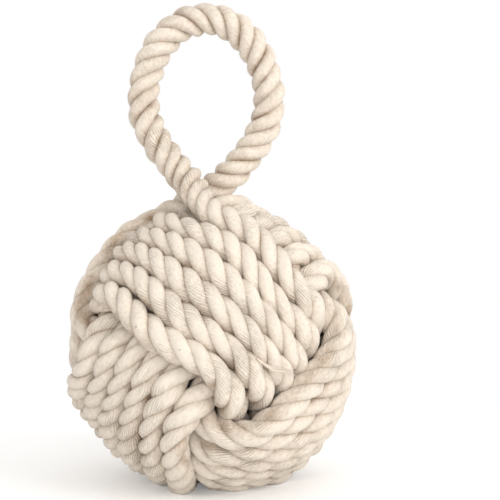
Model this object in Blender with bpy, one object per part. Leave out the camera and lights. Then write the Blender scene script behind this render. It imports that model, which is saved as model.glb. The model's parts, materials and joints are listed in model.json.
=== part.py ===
"""A rope knot doorstop: three interlaced sets of rope turns around a heavy core, and a rope handle.

Metres, +Z up. The knot stands on one of its eight corners, where three sets of turns meet, and the
handle comes out of the opposite corner. X runs across the handle, and the front faces -Y.

The real knot is one long rope. Here each of its turns is a piece of its own, cut where it is hidden
under the crossing set. The rope's two ends are tucked in beside the legs of the handle.
"""
import math

import bpy
import numpy as np
from mathutils import Matrix, Vector

MM = 0.001

# Rope
ROPE_FREE = 16.0 * MM          # diameter of the rope where nothing presses on it
PRESSED = 0.812                # share of that diameter which is left inside the tight knot
LANE_GAP = 0.8 * MM            # between neighbouring turns of one set
LAYER_GAP = 1.6 * MM           # between a turn and the one that it crosses over
END_GAP = 0.3 * MM             # between the ends of two pieces that meet

# Knot
TURNS = 6                      # turns in each of the three sets
FACE_EDGE = 45.0               # degrees about a set's axis from the middle of a face to its edge;
                               # it goes with sets that cross at right angles
FULLNESS = 0.649               # radius of the lower layer as a share of a set's width
SQUEEZE_CORNER = 0.22          # how much closer the turns lie at the knot's corners
SQUEEZE_CORNER_EDGE = 0.165    # the same for the two edge turns of a set
SQUEEZE_UNDER = 0.183          # and where they pass under another set
SQUEEZE_FROM = 34.0            # degrees from the middle of a face to the full corner squeeze
EDGE_RISE = 3.2 * MM           # how much higher than the others the edge turns of a set lie
RISE_FROM = 28.0               # degrees from the middle of a face where that rise begins to fade
RISE_TO = 53.0                 # and where it has ended
DIVE_EDGE = 51.1               # degrees from the middle of a face to the middle of an edge turn's dive
DIVE_MIDDLE = 53.0             # the same for a turn in the middle of its set
DIVE_EDGE_HALF = 12.5          # half the angle that an edge turn takes to dive
DIVE_MIDDLE_HALF = 9.5         # half the angle that a middle turn takes to dive
SHIFT_ANGLE = 32.0             # degrees in which a hidden turn moves over by half a lane
CORE_GAP = 0.4 * MM            # between the core and the turns around it

# Stance
TOP_CORNER = (1.0, -1.0, 1.0)  # corner of the knot, in its own axes, that the handle comes out of
SPIN = math.radians(-106.3)    # of the knot about the corner that it stands on
LEAN = math.radians(-5.0)      # of the knot to its left
TALLER = 0.08                  # how much the handle's pull has drawn out the top of the knot
SINK = 5.7 * MM                # how far the weight has flattened the turns that it stands on
SIDE_STEP = -0.14 * MM         # of the knot's middle to the right, which centres its leaning outline

# Handle
HANDLE_HALF_WIDTH = 33.3 * MM  # from the loop's middle to the middle of its rope, at the widest
HANDLE_SHOULDER = 33.0 * MM    # from the hinge axis up to the widest place
HANDLE_CROWN = 44.4 * MM       # from there to the middle of the rope at the top
HANDLE_LEG_GAP = 18.5 * MM     # between the two legs at the hinge axis
HANDLE_LEG_LEAN = 37.0         # degrees from upright of each leg at the hinge axis
HANDLE_LEG_PULL = 0.36         # share of the shoulder's height for which a leg keeps that lean
HANDLE_SIDE_PULL = 0.42        # share of the shoulder's height for which a side stays upright
HANDLE_OFFSET = -3.43 * MM     # of the loop's middle from the knot's middle
HINGE_RISE = 3.0 * MM          # of the hinge axis above one rope thickness over the knot
STRANDS = 3
STRAND_RIPPLE = 0.07           # half the depth of the grooves between strands, as a share of the radius
LAY_LENGTH = 28.5 * MM         # length of rope in which one strand goes once around

# Fineness of the meshes
SIDES = 8
TURN_RINGS = 38
TAIL_RINGS = 9
LEG_RINGS = 8
HANDLE_SIDES = 12
HANDLE_RINGS = 84
DOME_RINGS = 3
DOME_TIP = math.radians(7.5)   # of a leg's round end, between its axis and the rim of its small flat tip
CORE_SEGMENTS = 24
SMOOTH_ANGLE = math.radians(50.0)
TANGENT_STEP = 0.01            # degrees to each side of a point, between which its tangent is measured

ROPE = ROPE_FREE * PRESSED
LANE_PITCH = ROPE + LANE_GAP
UNDER_RADIUS = FULLNESS * TURNS * LANE_PITCH
OVER_RADIUS = UNDER_RADIUS + ROPE + LAYER_GAP
CORE_RADIUS = UNDER_RADIUS - ROPE / 2 - CORE_GAP
KNOT_RADIUS = OVER_RADIUS + ROPE / 2
CENTRE = Vector((SIDE_STEP, 0.0, KNOT_RADIUS - SINK))
HANDLE_MIDDLE = CENTRE.x + HANDLE_OFFSET
HINGE_HEIGHT = CENTRE.z + KNOT_RADIUS * (1.0 + TALLER) + ROPE + HINGE_RISE
LEG_SPACING = ROPE_FREE + HANDLE_LEG_GAP

# Each set has the axis of the faces where it lies on top, the axis of those where it passes under,
# the axis along which its turns lie side by side, and the angle in degrees where its turns begin.
SETS = {
    "first_set": (0, 1, 2, -90.0),
    "second_set": (2, 0, 1, -90.0),
    "third_set": (1, 2, 0, 90.0),
}

# The first turn of the first set leaves the knot as the handle's left leg, the first turn of the
# third set as its right leg. Each has the side of its leg, the angle in degrees where the turn lifts
# off, how far the curve pulls at the knot and at the leg, and the direction in which it comes up.
ROOTS = {
    "first_set": (-1.0, -15.0, 10.0 * MM, 8.0 * MM, (-0.7, 0.45, 0.75)),
    "third_set": (1.0, 158.5, 16.0 * MM, 8.0 * MM, (0.75, -0.1, 0.8)),
}
# The lane that such a turn has left is filled by an end of the rope, up to this angle in degrees.
TAILS = {"first_set": -42.0, "third_set": 132.0}


def clear_scene():
    for thing in list(bpy.data.objects):
        bpy.data.objects.remove(thing, do_unlink=True)


def make_material(name, colour, roughness):
    material = bpy.data.materials.new(name)
    material.use_nodes = True
    shader = material.node_tree.nodes["Principled BSDF"]
    shader.inputs["Base Color"].default_value = (*colour, 1.0)
    shader.inputs["Roughness"].default_value = roughness
    shader.inputs["Metallic"].default_value = 0.0
    return material


def ease(x):
    """0 below 0, 1 above 1 and a smooth S between."""
    x = np.clip(x, 0.0, 1.0)
    return x * x * (3.0 - 2.0 * x)


def stance():
    """Rotation from the knot's own axes to the world: top corner turned upright, spun, leaned."""
    upright = Vector(TOP_CORNER).rotation_difference(Vector((0.0, 0.0, 1.0))).to_matrix()
    return Matrix.Rotation(LEAN, 3, "Y") @ Matrix.Rotation(SPIN, 3, "Z") @ upright


def to_world(points):
    """Points of the knot in its own axes, turned to its stance, with the upper half drawn out.

    A height h above the middle grows by TALLER h^3 / KNOT_RADIUS^2, so the middle stays as it is.
    """
    turned = points @ np.array(stance()).T
    height = np.clip(turned[:, 2], 0.0, None)
    turned[:, 2] += TALLER * height**3 / KNOT_RADIUS**2
    return turned + np.array(CENTRE)


def lane_path(axes, lane, degrees):
    """Middle of a turn at angles about its set's axis, with the share of its width that is squeezed.

    lane counts pitches from the middle of the set. The turn lies on a sphere: the outer one on
    top, the inner one under the crossing set, with a smooth dive between. On top, the edge turns
    of a set lie a little higher, because the ends of the set that they cross bulge under them.
    """
    over, under, across = axes
    from_face = np.abs((degrees + 2.0 * FACE_EDGE) % (4.0 * FACE_EDGE) - 2.0 * FACE_EDGE)
    outward = np.abs(lane) / ((TURNS - 1) / 2)
    middle = np.clip(1.0 - outward * outward, 0.0, 1.0)
    dive = DIVE_EDGE + (DIVE_MIDDLE - DIVE_EDGE) * middle
    half = DIVE_EDGE_HALF + (DIVE_MIDDLE_HALF - DIVE_EDGE_HALF) * middle
    depth = ease((from_face - dive + half) / (2.0 * half))
    edge = ease(2.0 * outward - 1.0)
    corner = SQUEEZE_CORNER + (SQUEEZE_CORNER_EDGE - SQUEEZE_CORNER) * edge
    squeeze = corner * ease(from_face / SQUEEZE_FROM)
    squeeze += (SQUEEZE_UNDER - corner) * ease((from_face - FACE_EDGE) / FACE_EDGE)
    aside = lane * LANE_PITCH * (1.0 - squeeze)
    rise = EDGE_RISE * edge * (1.0 - ease((from_face - RISE_FROM) / (RISE_TO - RISE_FROM)))
    sphere = OVER_RADIUS + rise + (UNDER_RADIUS - OVER_RADIUS) * depth
    ring = np.sqrt(sphere**2 - aside**2)
    points = np.zeros((len(degrees), 3))
    points[:, over] = ring * np.cos(np.radians(degrees))
    points[:, under] = ring * np.sin(np.radians(degrees))
    points[:, across] = aside
    return points, squeeze


def turn_path(set_name, index, degrees):
    """Middle of one turn. At both hidden ends it moves over by half a lane, to meet its neighbours."""
    over, under, across, start = SETS[set_name]
    lane = (TURNS - 1) / 2 - index
    lane = lane + 0.5 * (1.0 - ease((degrees - start) / SHIFT_ANGLE))
    lane = lane - 0.5 * ease((degrees - start - 360.0 + SHIFT_ANGLE) / SHIFT_ANGLE)
    points, squeeze = lane_path((over, under, across), lane, degrees)
    return to_world(points), squeeze


def tangents(points):
    along = np.gradient(points, axis=0)
    return along / np.linalg.norm(along, axis=1)[:, None]


def frames(points, first_side):
    """Side and up vectors along a path. The side starts from first_side and turns as little as it can."""
    along = tangents(points)
    side = np.zeros_like(points)
    current = first_side
    for k, direction in enumerate(along):
        current = current - direction * (current @ direction)
        current = current / np.linalg.norm(current)
        side[k] = current
    return side, np.cross(along, side)


def turn_frames(set_name, index, degrees):
    """Side, up and forward vectors of a turn. Its side is the direction in which its set is laid."""
    ahead, _ = turn_path(set_name, index, degrees + TANGENT_STEP)
    behind, _ = turn_path(set_name, index, degrees - TANGENT_STEP)
    along = ahead - behind
    along /= np.linalg.norm(along, axis=1)[:, None]
    across = np.array(stance())[:, SETS[set_name][2]]
    side = across - along * (along @ across)[:, None]
    side /= np.linalg.norm(side, axis=1)[:, None]
    return side, np.cross(along, side), along


def add_object(name, vertices, faces, material):
    mesh = bpy.data.meshes.new(name)
    mesh.from_pydata([tuple(v) for v in vertices], [], faces)
    mesh.materials.append(material)
    mesh.shade_smooth()
    mesh.set_sharp_from_angle(angle=SMOOTH_ANGLE)
    thing = bpy.data.objects.new(name, mesh)
    bpy.context.collection.objects.link(thing)
    return thing


def loft(rings):
    """Closed skin over rings of points, each ring counter-clockwise about the direction of travel."""
    count, sides = rings.shape[:2]
    index = np.arange(count * sides).reshape(count, sides)
    following = np.roll(index, -1, axis=1)
    quads = np.stack([index[:-1], following[:-1], following[1:], index[1:]], axis=-1).reshape(-1, 4)
    faces = [tuple(int(i) for i in quad) for quad in quads]
    faces.append(tuple(int(i) for i in index[0][::-1]))
    faces.append(tuple(int(i) for i in index[-1]))
    return rings.reshape(-1, 3), faces


def tube_rings(points, side, up, half_side, half_up):
    """Rings around a path: flats face sideways and outward, and each has the round rope's area."""
    angles = (np.arange(SIDES) + 0.5) * 2.0 * np.pi / SIDES
    same_area = math.sqrt(2.0 * np.pi / (SIDES * math.sin(2.0 * np.pi / SIDES)))
    across = half_side[:, None, None] * np.cos(angles)[None, :, None] * side[:, None, :]
    rise = half_up[:, None, None] * np.sin(angles)[None, :, None] * up[:, None, :]
    return points[:, None, :] + (across + rise) * same_area


def bezier(start, start_pull, end_pull, end, count):
    """Cubic curve through start and end, aimed at the two pull points."""
    t = np.linspace(0.0, 1.0, count)[:, None]
    rest = 1.0 - t
    return rest**3 * start + 3 * rest**2 * t * start_pull + 3 * rest * t**2 * end_pull + t**3 * end


def leg_foot(side_sign):
    """Point where a handle leg crosses the hinge axis, and its upward direction there."""
    foot = np.array([HANDLE_MIDDLE + side_sign * LEG_SPACING / 2, 0.0, HINGE_HEIGHT])
    lean = math.radians(HANDLE_LEG_LEAN)
    return foot, np.array([side_sign * math.sin(lean), 0.0, math.cos(lean)])


def root_path(set_name, lift_point, lift_tangent):
    """Stretch from the lift-off point up to just below the round end of the handle leg."""
    side_sign, _, knot_pull, leg_pull, rise = ROOTS[set_name]
    foot, _ = leg_foot(side_sign)
    rise = np.array(rise) / np.linalg.norm(rise)
    end = foot - rise * (ROPE_FREE / 2 + END_GAP)
    return bezier(lift_point, lift_point - lift_tangent * knot_pull, end - rise * leg_pull, end,
                  LEG_RINGS + 1)


def flatten(vertices):
    """The turns at the bottom are pressed flat against the floor."""
    vertices[:, 2] = np.maximum(vertices[:, 2], 0.0)
    return vertices


def add_turn(set_name, index, material):
    start = SETS[set_name][3]
    rooted = index == 0 and set_name in ROOTS
    end_angle = math.degrees(END_GAP / 2 / UNDER_RADIUS)
    first = ROOTS[set_name][1] if rooted else start + end_angle
    degrees = np.linspace(first, start + 360.0 - end_angle, TURN_RINGS)
    points, squeeze = turn_path(set_name, index, degrees)
    side, up, along = turn_frames(set_name, index, degrees)
    half_side = ROPE / 2 * (1.0 - squeeze)
    half_up = np.full(TURN_RINGS, ROPE / 2)
    if rooted:
        leg = root_path(set_name, points[0], along[0])[:0:-1]
        swell = np.linspace(1.0, 0.0, len(leg), endpoint=False)
        half_side = np.concatenate([half_side[0] + (ROPE_FREE / 2 - half_side[0]) * swell, half_side])
        half_up = np.concatenate([ROPE / 2 + (ROPE_FREE - ROPE) / 2 * swell, half_up])
        leg_side, leg_up = frames(np.concatenate([leg, points[:1]])[::-1], side[0])
        side = np.concatenate([leg_side[:0:-1], side])
        up = np.concatenate([-leg_up[:0:-1], up])
        points = np.concatenate([leg, points])
    rings = tube_rings(points, side, up, half_side, half_up)
    vertices, faces = loft(rings)
    add_object(f"{set_name}_turn_{index + 1}", flatten(vertices), faces, material)


def add_tail(set_name, material):
    """End of the rope, tucked in where the set's first turn has lifted off to become a leg."""
    start = SETS[set_name][3]
    end_angle = math.degrees(END_GAP / 2 / UNDER_RADIUS)
    degrees = np.linspace(start + end_angle, TAILS[set_name], TAIL_RINGS)
    points, squeeze = turn_path(set_name, 0, degrees)
    side, up, _ = turn_frames(set_name, 0, degrees)
    rings = tube_rings(points, side, up, ROPE / 2 * (1.0 - squeeze), np.full(TAIL_RINGS, ROPE / 2))
    vertices, faces = loft(rings)
    add_object(f"{set_name}_tail", vertices, faces, material)


def handle_path():
    """Teardrop: two legs from the hinge axis to the shoulders, and half an ellipse over the top."""
    left_foot, left_up = leg_foot(-1.0)
    right_foot, right_up = leg_foot(1.0)
    shoulder_z = HINGE_HEIGHT + HANDLE_SHOULDER
    left_shoulder = np.array([HANDLE_MIDDLE - HANDLE_HALF_WIDTH, 0.0, shoulder_z])
    right_shoulder = np.array([HANDLE_MIDDLE + HANDLE_HALF_WIDTH, 0.0, shoulder_z])
    drop = np.array([0.0, 0.0, HANDLE_SHOULDER * HANDLE_SIDE_PULL])
    reach = HANDLE_SHOULDER * HANDLE_LEG_PULL
    quarter = HANDLE_RINGS // 4
    left = bezier(left_foot, left_foot + left_up * reach, left_shoulder - drop, left_shoulder, quarter)
    right = bezier(right_shoulder, right_shoulder - drop, right_foot + right_up * reach, right_foot, quarter)
    turn = np.linspace(math.pi, 0.0, HANDLE_RINGS - 2 * quarter + 2)[1:-1]
    crown = np.zeros((len(turn), 3))
    crown[:, 0] = HANDLE_MIDDLE + HANDLE_HALF_WIDTH * np.cos(turn)
    crown[:, 2] = shoulder_z + HANDLE_CROWN * np.sin(turn)
    return np.concatenate([left, crown, right])


def lobed_rings(points, side, up, scale):
    """Section of three strands laid together, turning once in each lay length."""
    length = np.concatenate([[0.0], np.cumsum(np.linalg.norm(np.diff(points, axis=0), axis=1))])
    angles = np.arange(HANDLE_SIDES) * 2.0 * np.pi / HANDLE_SIDES
    twist = 2.0 * np.pi * length / LAY_LENGTH
    ripple = np.cos(STRANDS * angles)
    radius = ROPE_FREE / 2 * (1.0 - STRAND_RIPPLE + STRAND_RIPPLE * ripple)
    turned = angles[None, :] + twist[:, None]
    reach = scale[:, None] * radius[None, :]
    across = (reach * np.cos(turned))[:, :, None] * side[:, None, :]
    rise = (reach * np.sin(turned))[:, :, None] * up[:, None, :]
    return points[:, None, :] + across + rise


def dome(point, direction):
    """Path points and scales of the round end of a leg, from its tip inward."""
    angles = np.linspace(0.0, np.pi / 2, DOME_RINGS + 1)[:-1]
    angles[0] = DOME_TIP
    radius = ROPE_FREE / 2
    points = point - direction * radius * np.cos(angles)[:, None]
    return points, np.sin(angles)


def add_handle(material):
    """Its legs end in round ends centred on the hinge axis, so that it can lean without rubbing."""
    path = handle_path()
    left_foot, left_up = leg_foot(-1.0)
    right_foot, right_up = leg_foot(1.0)
    left_dome, left_scale = dome(left_foot, left_up)
    right_dome, right_scale = dome(right_foot, right_up)
    points = np.concatenate([left_dome, path, right_dome[::-1]])
    scale = np.concatenate([left_scale, np.ones(len(path)), right_scale[::-1]])
    side, up = frames(points, np.array([0.0, -1.0, 0.0]))
    vertices, faces = loft(lobed_rings(points, side, up, scale))
    hinge = bpy.data.objects.new("handle_hinge", None)
    hinge.location = (HANDLE_MIDDLE, 0.0, HINGE_HEIGHT)
    bpy.context.collection.objects.link(hinge)
    loop = add_object("handle_loop", vertices - np.array(hinge.location), faces, material)
    loop.parent = hinge


def add_core(material):
    """Round weight: a profile of half a circle spun about the vertical axis, closed at its poles."""
    rows = CORE_SEGMENTS // 2
    polar = np.arange(1, rows) * np.pi / rows
    around = np.arange(CORE_SEGMENTS) * 2.0 * np.pi / CORE_SEGMENTS
    ring = np.sin(polar)[:, None]
    height = np.repeat(-np.cos(polar)[:, None], CORE_SEGMENTS, axis=1)
    rows_of_points = np.stack([ring * np.cos(around), ring * np.sin(around), height], axis=-1)
    vertices, faces = loft(rows_of_points * CORE_RADIUS)
    poles = np.array([[0.0, 0.0, -CORE_RADIUS], [0.0, 0.0, CORE_RADIUS]])
    first_cap, last_cap = faces[-2:]
    faces = faces[:-2]
    for pole, cap in ((len(vertices), first_cap), (len(vertices) + 1, last_cap)):
        faces += [(cap[k], cap[(k + 1) % len(cap)], pole) for k in range(len(cap))]
    core = add_object("core_weight", np.concatenate([vertices, poles]), faces, material)
    core.location = CENTRE


def main():
    clear_scene()
    cotton = make_material("cotton_rope", (0.74, 0.63, 0.51), 0.92)
    cement = make_material("cement", (0.35, 0.34, 0.32), 0.85)
    for set_name in SETS:
        for index in range(TURNS):
            add_turn(set_name, index, cotton)
    for set_name in TAILS:
        add_tail(set_name, cotton)
    add_handle(cotton)
    add_core(cement)


main()
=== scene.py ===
# %% [markdown]
# # A rope knot doorstop
# A heavy ball is wrapped in a monkey's fist knot of thick cotton rope, and a loop of the same rope
# stands on top as its handle. The construction model already says where each turn of the rope runs.
# This lesson dresses it: every turn becomes a real three-strand rope, laid from twisted strands.

# %% Load the construction model as a fixed frame
import json
import math

import bpy
import numpy as np
from mathutils import Matrix, Vector


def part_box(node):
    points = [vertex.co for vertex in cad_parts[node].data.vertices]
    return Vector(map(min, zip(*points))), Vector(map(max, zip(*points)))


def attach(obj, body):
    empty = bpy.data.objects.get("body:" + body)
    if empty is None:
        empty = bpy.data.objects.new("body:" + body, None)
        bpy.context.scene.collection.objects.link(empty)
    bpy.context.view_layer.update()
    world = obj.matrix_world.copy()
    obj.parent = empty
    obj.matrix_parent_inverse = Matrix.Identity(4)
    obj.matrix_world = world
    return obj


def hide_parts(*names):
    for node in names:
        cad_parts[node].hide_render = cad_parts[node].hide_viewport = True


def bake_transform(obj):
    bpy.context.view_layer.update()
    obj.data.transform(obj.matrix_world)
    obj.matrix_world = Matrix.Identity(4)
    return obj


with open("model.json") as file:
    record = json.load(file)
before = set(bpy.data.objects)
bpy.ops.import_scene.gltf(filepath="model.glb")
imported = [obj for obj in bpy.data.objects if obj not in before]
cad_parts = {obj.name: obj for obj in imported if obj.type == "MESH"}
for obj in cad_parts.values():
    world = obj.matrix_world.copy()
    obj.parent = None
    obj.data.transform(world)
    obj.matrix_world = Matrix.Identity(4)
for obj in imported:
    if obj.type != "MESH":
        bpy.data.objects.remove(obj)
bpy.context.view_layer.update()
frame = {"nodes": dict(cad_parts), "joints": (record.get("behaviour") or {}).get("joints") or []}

# %% [markdown]
# ## The camera
# The photograph was taken with a long lens from a little above the ball's middle. The camera stands
# that far from the core's middle, looks along +Y, and aims at the point that is in the middle of the
# photograph's frame, so that no lens shift is needed.

# %% Camera
MM = 0.001
core_low, core_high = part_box("core_weight")
KNOT_MIDDLE = np.array((core_low + core_high) / 2)
CAMERA_DISTANCE = 598.0 * MM            # from the knot's middle
CAMERA_ELEVATION = math.radians(6.5)    # of the camera as seen from there
CAMERA_LENS = 81.1                      # focal length in millimetres
SENSOR_WIDTH = 36.0                     # in millimetres too
FRAME_MIDDLE = Vector((19.3 * MM, 0.0, 121.5 * MM))


def add_camera():
    """Camera at middle + CAMERA_DISTANCE * (0, -cos, sin of CAMERA_ELEVATION), aimed at FRAME_MIDDLE."""
    data = bpy.data.cameras.new("photo_camera")
    data.lens = CAMERA_LENS
    data.sensor_width = SENSOR_WIDTH
    data.clip_start = 0.01
    camera = bpy.data.objects.new("photo_camera", data)
    back = Vector((0.0, -math.cos(CAMERA_ELEVATION), math.sin(CAMERA_ELEVATION)))
    camera.location = Vector(KNOT_MIDDLE) + back * CAMERA_DISTANCE
    camera.rotation_euler = (FRAME_MIDDLE - camera.location).to_track_quat("-Z", "Y").to_euler()
    bpy.context.scene.collection.objects.link(camera)
    bpy.context.scene.camera = camera
    return camera


camera = add_camera()
print("camera at", [round(c, 3) for c in camera.location])

# %% [markdown]
# ## How the rope runs
# The knot is three sets of six turns. Each set goes round the ball about an axis of its own: over the
# two faces where it lies on top, and under the set that crosses it on the next two. These are the
# same rules as in the construction model, so each dressed turn lies where its plain tube lies.

# %% Sizes of the rope and the knot
ROPE_FREE = 16.0 * MM          # diameter of the rope where nothing presses on it
PRESSED = 0.812                # share of that diameter which is left inside the tight knot
LANE_GAP = 0.8 * MM            # between neighbouring turns of one set
LAYER_GAP = 1.6 * MM           # between a turn and the one that it crosses over
CORE_GAP = 0.4 * MM            # between the core and the turns around it
END_GAP = 0.3 * MM             # between the two ends of a turn
TURNS = 6                      # turns in each of the three sets
FACE_EDGE = 45.0               # degrees about a set's axis from the middle of a face to its edge
SQUEEZE_CORNER = 0.22          # how much closer the turns lie at the knot's corners
SQUEEZE_CORNER_EDGE = 0.165    # the same for the two edge turns of a set
SQUEEZE_UNDER = 0.183          # and where they pass under another set
SQUEEZE_FROM = 34.0            # degrees from the middle of a face to the full corner squeeze
EDGE_RISE = 3.2 * MM           # how much higher than the others the edge turns of a set lie
RISE_FROM = 28.0               # degrees from the middle of a face where that rise begins to fade
RISE_TO = 53.0                 # and where it has ended
DIVE_EDGE = 51.1               # degrees from the middle of a face to the middle of an edge turn's dive
DIVE_MIDDLE = 53.0             # the same for a turn in the middle of its set
DIVE_EDGE_HALF = 12.5          # half the angle that an edge turn takes to dive
DIVE_MIDDLE_HALF = 9.5         # half the angle that a middle turn takes to dive
SHIFT_ANGLE = 32.0             # degrees in which a hidden turn moves over by half a lane
TANGENT_STEP = 0.01            # degrees to each side of a point, between which its tangent is measured
NEST = 1.16                    # crest width of a rope as a share of its lane, since the crests nest
SNUG = 3.0                     # degrees by which soft rope fills out beyond the middle lanes' dive
BULGE = 1.3 * MM               # how far an edge turn moves into the free corner between three sets
BULGE_FULLER = 1.5             # growth of its half width there, as a share of that
BULGE_SPAN = 17.0              # degrees to each side of the corner over which it swells

ROPE = ROPE_FREE * PRESSED
LANE_PITCH = ROPE + LANE_GAP
CORE_RADIUS = (core_high.z - core_low.z) / 2
UNDER_RADIUS = CORE_RADIUS + ROPE / 2 + CORE_GAP
OVER_RADIUS = UNDER_RADIUS + ROPE + LAYER_GAP
KNOT_RADIUS = OVER_RADIUS + ROPE / 2

TOP_CORNER = Vector((1.0, -1.0, 1.0))   # corner of the knot, in its own axes, that points up
SPIN = math.radians(-106.3)             # of the knot about that corner
LEAN = math.radians(-5.0)               # of the knot to its left
TALLER = 0.08                           # how much the handle's pull has drawn out the top of the knot

# For each set: the axis of its faces on top, of its faces below, and across its turns, and the angle
# in degrees where its turns begin.
SETS = {
    "first_set": (0, 1, 2, -90.0),
    "second_set": (2, 0, 1, -90.0),
    "third_set": (1, 2, 0, 90.0),
}

upright = TOP_CORNER.rotation_difference(Vector((0.0, 0.0, 1.0))).to_matrix()
STANCE = np.array(Matrix.Rotation(LEAN, 3, "Y") @ Matrix.Rotation(SPIN, 3, "Z") @ upright)
print("ball radius", round(KNOT_RADIUS / MM, 1), "mm")


# %% Path of one turn
def ease(x):
    """0 below 0, 1 above 1, and 3x^2 - 2x^3 between."""
    x = np.clip(x, 0.0, 1.0)
    return x * x * (3.0 - 2.0 * x)


def turn_path(set_name, index, degrees):
    """Middle of a turn at angles about its set's axis, and half the width of the pressed rope there.

    The lane counts pitches from the set's middle and moves over by half a pitch at both hidden ends.
    The path lies on a sphere whose radius eases from the upper layer to the lower one, and the edge
    turns of a set ride a little higher. Aside of the set's middle by a distance a, a sphere of radius
    r leaves a ring of radius sqrt(r^2 - a^2). Soft rope fills the free space, so the outer turns
    swell towards each corner. Last, the pull of the handle draws out the top: a height h above the
    middle grows by TALLER h^3 / KNOT_RADIUS^2.
    """
    over, under, across, start = SETS[set_name]
    lane = (TURNS - 1) / 2 - index
    lane = lane + 0.5 * (1.0 - ease((degrees - start) / SHIFT_ANGLE))
    lane = lane - 0.5 * ease((degrees - start - 360.0 + SHIFT_ANGLE) / SHIFT_ANGLE)
    from_face = np.abs((degrees + 2.0 * FACE_EDGE) % (4.0 * FACE_EDGE) - 2.0 * FACE_EDGE)
    outward = np.abs(lane) / ((TURNS - 1) / 2)
    middle = np.clip(1.0 - outward * outward, 0.0, 1.0)
    dive = DIVE_EDGE + (DIVE_MIDDLE + SNUG - DIVE_EDGE) * middle
    half = DIVE_EDGE_HALF + (DIVE_MIDDLE_HALF - DIVE_EDGE_HALF) * middle
    depth = ease((from_face - dive + half) / (2.0 * half))
    edge = ease(2.0 * outward - 1.0)
    corner = SQUEEZE_CORNER + (SQUEEZE_CORNER_EDGE - SQUEEZE_CORNER) * edge
    squeeze = corner * ease(from_face / SQUEEZE_FROM)
    squeeze += (SQUEEZE_UNDER - corner) * ease((from_face - FACE_EDGE) / FACE_EDGE)
    bulge = BULGE * ease(outward) * (1.0 - ease(np.abs(from_face - FACE_EDGE) / BULGE_SPAN))
    aside = lane * LANE_PITCH * (1.0 - squeeze) + np.sign(lane) * bulge
    rise = EDGE_RISE * edge * (1.0 - ease((from_face - RISE_FROM) / (RISE_TO - RISE_FROM)))
    sphere = OVER_RADIUS + rise + (UNDER_RADIUS - OVER_RADIUS) * depth
    ring = np.sqrt(sphere**2 - aside**2)
    points = np.zeros((len(degrees), 3))
    points[:, over] = ring * np.cos(np.radians(degrees))
    points[:, under] = ring * np.sin(np.radians(degrees))
    points[:, across] = aside
    points = points @ STANCE.T
    height = np.clip(points[:, 2], 0.0, None)
    points[:, 2] += TALLER * height**3 / KNOT_RADIUS**2
    return points + KNOT_MIDDLE, NEST * LANE_PITCH / 2 * (1.0 - squeeze) + BULGE_FULLER * bulge


def unit(vectors):
    """Each row divided by its own length."""
    return vectors / np.linalg.norm(vectors, axis=-1, keepdims=True)


def turn_frames(set_name, index, degrees):
    """Side, up and forward vectors of a turn.

    Forward is measured over a small step to each side of the point. Side is as near as it can be to
    the direction in which the set is laid, and up is square to both.
    """
    ahead, _ = turn_path(set_name, index, degrees + TANGENT_STEP)
    behind, _ = turn_path(set_name, index, degrees - TANGENT_STEP)
    along = unit(ahead - behind)
    across = STANCE[:, SETS[set_name][2]]
    side = unit(across - along * (along @ across)[:, None])
    return side, np.cross(along, side), along


# %% [markdown]
# ## The section of a three-strand rope
# Three strands are pressed together and twisted. Cut across, each is an ellipse that is set off from
# the middle of the rope, and the skin of the rope is where a ray from the middle leaves the ellipse
# of its third of the circle. The two ellipses beside each other meet in a deep, sharp groove.

# %% Section of the rope
STRANDS = 3
STRAND_OFFSET = 0.455          # middle of a strand, as a share of the rope's crest radius
STRAND_DEEP = 0.545            # half its size in and out
STRAND_WIDE = 0.60             # half its size around the rope
STRAND_POINTS = 20             # points around one strand
CROWDING = 0.35                # how much closer together they lie near a groove
RING_POINTS = STRANDS * STRAND_POINTS
THIRD = 2.0 * np.pi / STRANDS  # angle that one strand takes of the section


def section_angles():
    """Angles around the rope from groove to groove. In each third they are t + CROWDING t (1 - t^2),
    with t from -1 at one groove to 1 at the next."""
    t = np.linspace(-1.0, 1.0, STRAND_POINTS + 1)
    spread = t * (1.0 + CROWDING * (1.0 - t * t))
    local = spread * THIRD / 2
    angles = [k * THIRD + THIRD / 2 + local[:-1] for k in range(STRANDS)]
    return np.append(np.concatenate(angles), 2.0 * np.pi)


def section_radius(angles):
    """Where a ray at an angle leaves the ellipse of its strand, as a share of the crest radius.

    The ellipse is ((x - offset) / deep)^2 + (y / wide)^2 = 1, and the ray is x = r cos, y = r sin.
    """
    local = angles % THIRD - THIRD / 2
    a = (np.cos(local) / STRAND_DEEP) ** 2 + (np.sin(local) / STRAND_WIDE) ** 2
    b = -2.0 * STRAND_OFFSET * np.cos(local) / STRAND_DEEP**2
    c = (STRAND_OFFSET / STRAND_DEEP) ** 2 - 1.0
    return (-b + np.sqrt(b * b - 4.0 * a * c)) / (2.0 * a)


SECTION_ANGLES = section_angles()
SECTION = section_radius(SECTION_ANGLES)
print("groove depth", round(1.0 - SECTION.min(), 2), "of the radius")
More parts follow.
